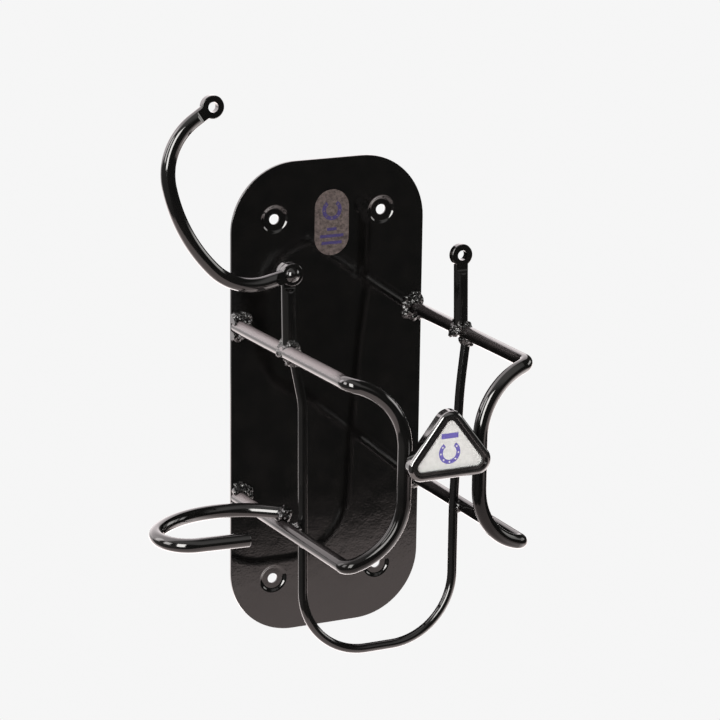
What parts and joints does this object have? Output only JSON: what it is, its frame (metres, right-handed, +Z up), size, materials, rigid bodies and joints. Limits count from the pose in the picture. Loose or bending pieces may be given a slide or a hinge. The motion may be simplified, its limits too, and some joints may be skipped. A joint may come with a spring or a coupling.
{
  "type": "saddle rack",
  "caption": "Lockable wall saddle rack: steel back plate with bent-rod arms, posts and a swinging locking bar, a hanging hoop, a bridle hook and a triangular front badge.",
  "frame": {"origin": "centre of the wall plate's back face", "axes": "+Z up, -Y out of the wall towards the person, +X to the right of somebody facing the rack"},
  "size_m": [0.2988, 0.2483, 0.5088],
  "materials": {
    "black_enamel": "gloss black enamel with a slight orange peel",
    "badge_black": "gloss",
    "badge_white": "gloss",
    "violet_print": "printed ink",
    "label_foil": "brushed foil"
  },
  "bodies": {
    "rack": {"badge_emblem": "violet_print", "badge_face": "badge_white", "badge_housing": "badge_black", "bridle_hook": "black_enamel", "bridle_hook_weld": "black_enamel", "foil_label": "label_foil", "foil_label_print": "violet_print", "hanging_hoop": "black_enamel", "left_badge_weld": "black_enamel", "left_hoop_low_weld": "black_enamel", "left_hoop_top_weld": "black_enamel", "left_lower_plate_weld": "black_enamel", "left_post_weld": "black_enamel", "left_support_loop": "black_enamel", "left_upper_plate_weld": "black_enamel", "lock_post": "black_enamel", "pivot_post": "black_enamel", "pivot_rivet": "black_enamel", "right_badge_weld": "black_enamel", "right_hoop_low_weld": "black_enamel", "right_hoop_top_weld": "black_enamel", "right_lower_plate_weld": "black_enamel", "right_post_weld": "black_enamel", "right_support_loop": "black_enamel", "right_upper_plate_weld": "black_enamel", "wall_plate": "black_enamel"},
    "locking_bar": {"locking_bar": "black_enamel"}
  },
  "joints": [
    {"name": "locking_bar_pivot", "type": "hinge", "parent": "rack", "child": "locking_bar", "pos_m": [-0.079, -0.09975, 0.14331], "axis": [0, 0.9988, -0.0489], "range_deg": [-30, 115]}
  ]
}
